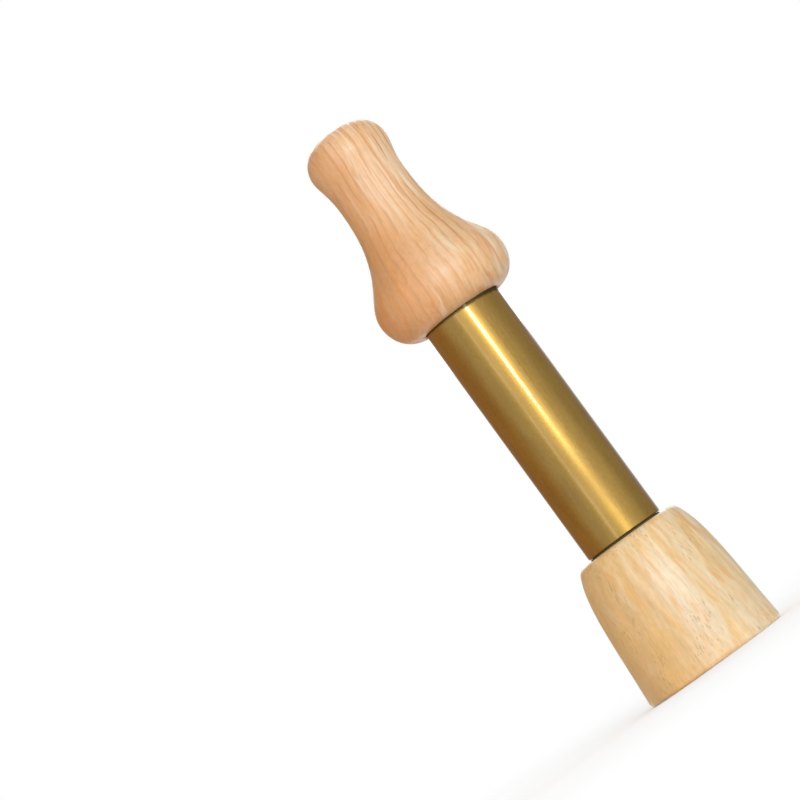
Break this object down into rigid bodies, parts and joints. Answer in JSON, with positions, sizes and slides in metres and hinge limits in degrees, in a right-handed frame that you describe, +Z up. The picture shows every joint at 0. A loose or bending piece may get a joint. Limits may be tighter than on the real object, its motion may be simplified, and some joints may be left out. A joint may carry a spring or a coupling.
{
  "type": "bird call",
  "caption": "Slide whistle bird call: a turned wooden mouthpiece on a plain brass tube, with a tapered wooden pull knob whose plunger slides in the tube to bend the note.",
  "frame": {"origin": "centre of the pull knob's flat base", "axes": "+Z up the axis from the knob to the mouthpiece's lip, +Y to the side that has the sound window, -Y to the plain side"},
  "size_m": [0.0326, 0.0326, 0.1362],
  "materials": {
    "mouthpiece_wood": "satin varnish over straight pinkish grain",
    "knob_wood": "oiled pale wood with short dark pores",
    "dowel_wood": "plain planed hardwood",
    "tube_brass": "satin, lightly tarnished drawn brass",
    "fitting_brass": "turned brass",
    "packing_leather": "greased brown leather",
    "stop_felt": "dark pressed felt"
  },
  "bodies": {
    "plunger": {"pull_knob": "knob_wood", "plunger_rod": "dowel_wood", "piston_rear_washer": "fitting_brass", "piston_packing": "packing_leather", "piston_front_washer": "fitting_brass", "piston_screw": "fitting_brass"},
    "felt_stop": {"stop_washer": "stop_felt"},
    "barrel": {"guide_bush": "dowel_wood", "brass_tube": "tube_brass", "fipple_block": "dowel_wood", "mouthpiece": "mouthpiece_wood"}
  },
  "joints": [
    {"name": "barrel_twist", "type": "hinge", "parent": "plunger", "child": "felt_stop", "pos_m": [0, 0, 0.0316], "axis": [0, 0, 1], "continuous": true},
    {"name": "barrel_slide", "type": "slide", "parent": "felt_stop", "child": "barrel", "axis": [0, 0, 1], "range_m": [0, 0.028]}
  ]
}
